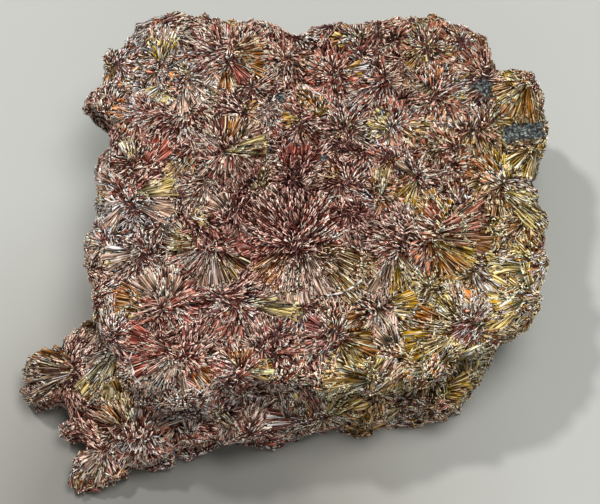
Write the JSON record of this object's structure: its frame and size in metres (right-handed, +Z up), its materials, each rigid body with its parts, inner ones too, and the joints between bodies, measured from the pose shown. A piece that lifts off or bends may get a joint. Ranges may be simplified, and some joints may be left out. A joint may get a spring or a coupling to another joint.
{
  "type": "pyrophyllite specimen",
  "caption": "Broken hand specimen of pyrophyllite: a thick slab made of radiating rosettes of thin bladed crystals, with a flat to rest on.",
  "frame": {"origin": "on the flat that the stone rests on, under the middle of its main block", "axes": "+X along the longest side, away from the low side lobe; +Y towards the back edge, away from the low front spur; +Z up out of the broad face that carries the best rosettes"},
  "size_m": [0.1215, 0.1054, 0.0379],
  "materials": {
    "pyrophyllite": "pearly bladed crystals, satin to glossy"
  },
  "bodies": {
    "root": {"pyrophyllite_specimen": "pyrophyllite"}
  },
  "joints": []
}
